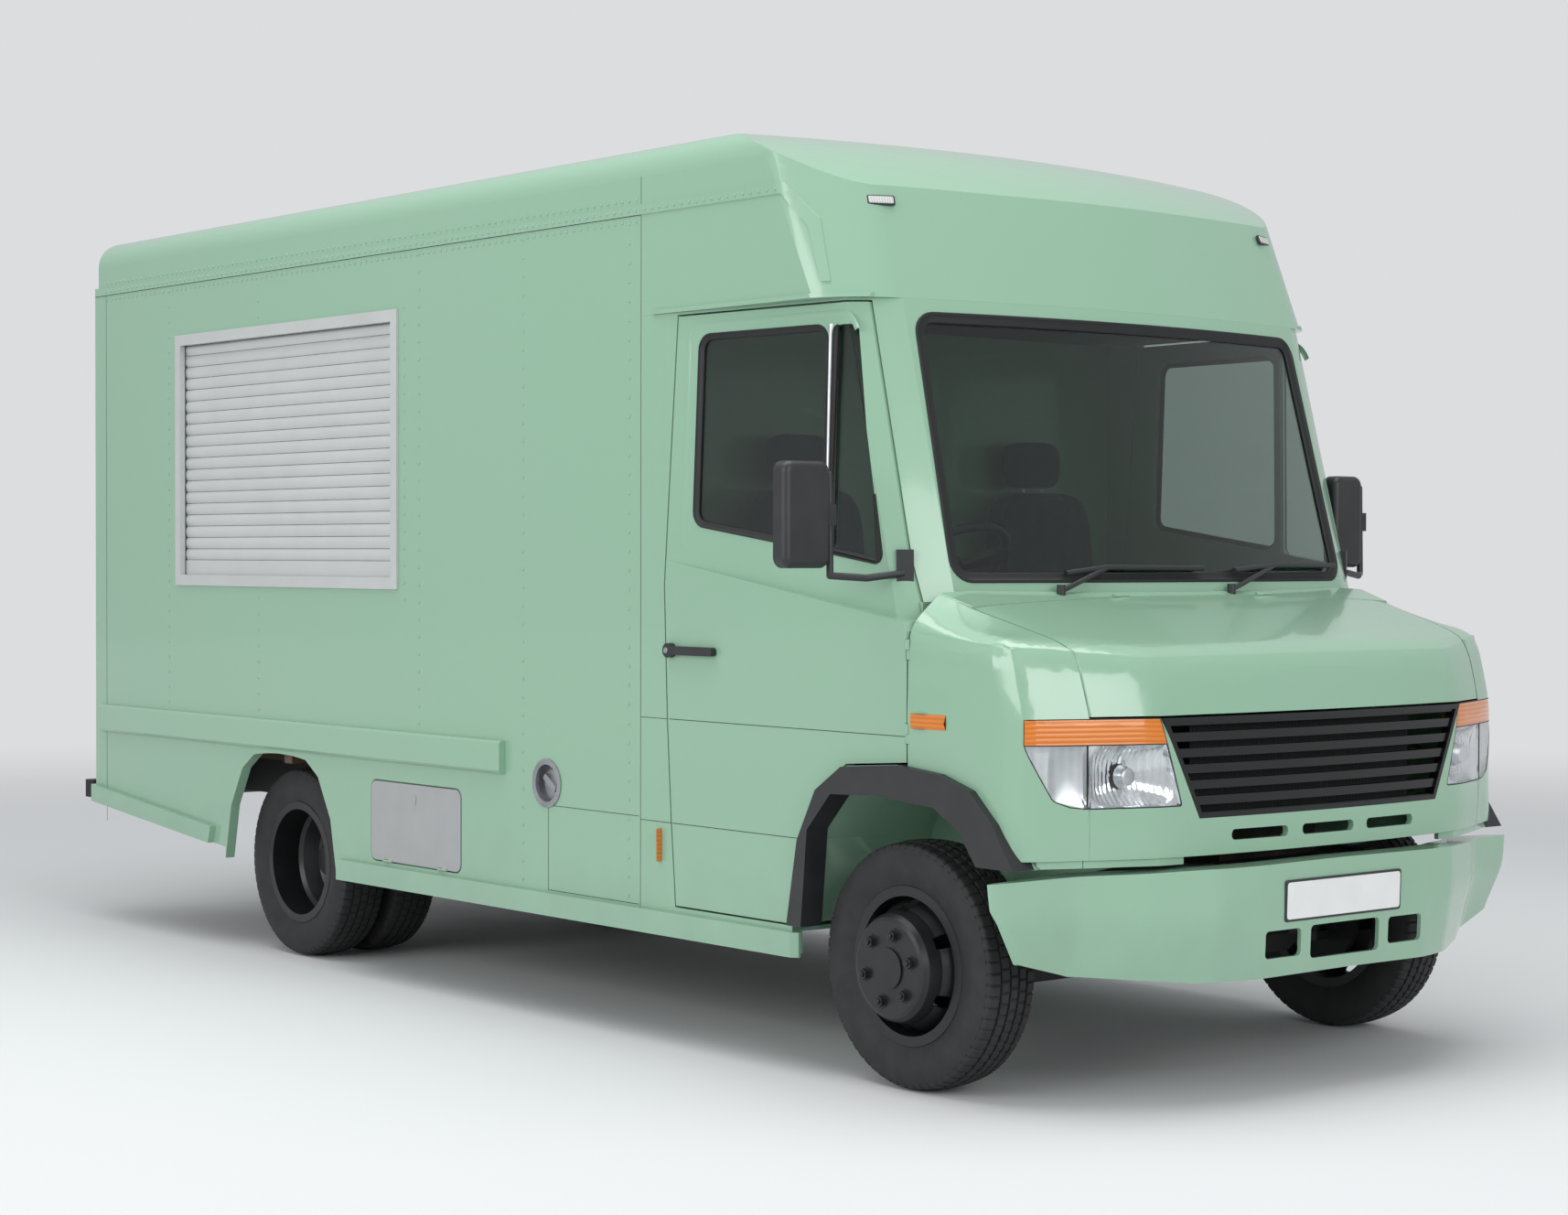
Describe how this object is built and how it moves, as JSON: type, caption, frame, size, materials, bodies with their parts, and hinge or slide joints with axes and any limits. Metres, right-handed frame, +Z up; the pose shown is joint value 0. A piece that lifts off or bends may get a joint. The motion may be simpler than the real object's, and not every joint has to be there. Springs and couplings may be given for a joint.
{
  "type": "food truck",
  "caption": "High-roof step van with a roller-shuttered serving hatch, twin rear tyres, steered front wheels, hinged cab doors, hood, rear doors and locker lid.",
  "frame": {"origin": "on the ground under the middle of the bounding box", "axes": "+X forward, +Y to the left, +Z up"},
  "size_m": [6.245, 2.668, 2.9899],
  "materials": {
    "body_paint": "gloss",
    "tyre_rubber": "matt",
    "wheel_paint": "satin",
    "black_plastic": "matt",
    "chassis_paint": "satin",
    "engine_iron": "rough",
    "glass": "clear",
    "lamp_clear": "clear lens over a reflector",
    "lamp_amber": "amber lens",
    "lamp_red": "red lens",
    "shutter_grey": "satin",
    "locker_grey": "satin",
    "floor_board": "sealed ply",
    "seat_fabric": "woven"
  },
  "bodies": {
    "vehicle": {"amber_lamps": "lamp_amber", "arch_flares": "black_plastic", "body_floor": "floor_board", "body_roof": "body_paint", "body_side_left": "body_paint", "body_side_right": "body_paint", "bumper": "body_paint", "cab_shell": "body_paint", "chassis_frame": "chassis_paint", "cowl_panel": "body_paint", "dashboard": "black_plastic", "drive_shaft": "chassis_paint", "engine_block": "engine_iron", "fender_left": "body_paint", "fender_right": "body_paint", "filler_port": "black_plastic", "front_axle": "chassis_paint", "front_panel": "body_paint", "fuel_tank": "chassis_paint", "grille": "black_plastic", "hatch_frame": "shutter_grey", "headlamps": "lamp_clear", "leaf_springs": "chassis_paint", "rear_axle": "chassis_paint", "rear_frame": "body_paint", "rear_lamps": "lamp_red", "roof_cap": "body_paint", "rub_rails": "body_paint", "seat_driver": "seat_fabric", "seat_passenger": "seat_fabric", "sills": "body_paint", "steering_wheel": "black_plastic", "windscreen": "glass", "wipers": "black_plastic"},
    "knuckle_right": {"knuckle_right": "chassis_paint"},
    "knuckle_left": {"knuckle_left": "chassis_paint"},
    "wheel_front_right": {"tyre_front_right": "tyre_rubber", "rim_front_right": "wheel_paint"},
    "wheel_front_left": {"tyre_front_left": "tyre_rubber", "rim_front_left": "wheel_paint"},
    "wheels_rear_right": {"tyres_rear_right": "tyre_rubber", "rims_rear_right": "wheel_paint"},
    "wheels_rear_left": {"tyres_rear_left": "tyre_rubber", "rims_rear_left": "wheel_paint"},
    "cab_door_right": {"door_right": "body_paint", "door_glass_right": "glass", "mirror_right": "black_plastic", "door_handle_right": "black_plastic"},
    "cab_door_left": {"door_left": "body_paint", "door_glass_left": "glass", "mirror_left": "black_plastic", "door_handle_left": "black_plastic"},
    "hood": {"hood": "body_paint"},
    "rear_leaf_right": {"rear_door_right": "body_paint"},
    "rear_leaf_left": {"rear_door_left": "body_paint"},
    "shutter": {"hatch_shutter": "shutter_grey"},
    "locker": {"locker_lid": "locker_grey"}
  },
  "joints": [
    {"name": "steer_right", "type": "hinge", "parent": "vehicle", "child": "knuckle_right", "pos_m": [2.3075, -0.714, 0.3765], "axis": [0, 0, 1], "range_deg": [-35, 35]},
    {"name": "steer_left", "type": "hinge", "parent": "vehicle", "child": "knuckle_left", "pos_m": [2.3075, 0.886, 0.3765], "axis": [0, 0, 1], "range_deg": [-35, 35]},
    {"name": "spin_front_right", "type": "hinge", "parent": "knuckle_right", "child": "wheel_front_right", "pos_m": [2.3075, -0.871, 0.3765], "axis": [0, 1, 0], "continuous": true},
    {"name": "spin_front_left", "type": "hinge", "parent": "knuckle_left", "child": "wheel_front_left", "pos_m": [2.3075, 1.043, 0.3765], "axis": [0, 1, 0], "continuous": true},
    {"name": "spin_rear_right", "type": "hinge", "parent": "vehicle", "child": "wheels_rear_right", "pos_m": [-1.3925, -0.7035, 0.3765], "axis": [0, 1, 0], "continuous": true},
    {"name": "spin_rear_left", "type": "hinge", "parent": "vehicle", "child": "wheels_rear_left", "pos_m": [-1.3925, 0.8755, 0.3765], "axis": [0, 1, 0], "continuous": true},
    {"name": "cab_door_right_hinge", "type": "hinge", "parent": "vehicle", "child": "cab_door_right", "pos_m": [2.3705, -1.016, 1.3], "axis": [0, 0, 1], "range_deg": [0, 70]},
    {"name": "cab_door_left_hinge", "type": "hinge", "parent": "vehicle", "child": "cab_door_left", "pos_m": [2.3705, 1.188, 1.3], "axis": [0, 0, -1], "range_deg": [0, 70]},
    {"name": "hood_hinge", "type": "hinge", "parent": "vehicle", "child": "hood", "pos_m": [2.5005, 0.086, 1.486], "axis": [0, -1, 0], "range_deg": [0, 50]},
    {"name": "rear_door_right_hinge", "type": "hinge", "parent": "vehicle", "child": "rear_leaf_right", "pos_m": [-2.9965, -0.976, 1.76], "axis": [0, 0, 1], "range_deg": [0, 100]},
    {"name": "rear_door_left_hinge", "type": "hinge", "parent": "vehicle", "child": "rear_leaf_left", "pos_m": [-2.9965, 1.148, 1.76], "axis": [0, 0, -1], "range_deg": [0, 100]},
    {"name": "locker_hinge", "type": "hinge", "parent": "vehicle", "child": "locker", "pos_m": [-0.3555, -1.018, 0.457], "axis": [1, 0, 0], "range_deg": [0, 85]},
    {"name": "shutter_slide", "type": "slide", "parent": "vehicle", "child": "shutter", "axis": [0, 0, 1], "range_m": [0, 0.2]}
  ],
  "couplings": [
    {"joint": "steer_left", "follows": "steer_right", "ratio": 1}
  ]
}
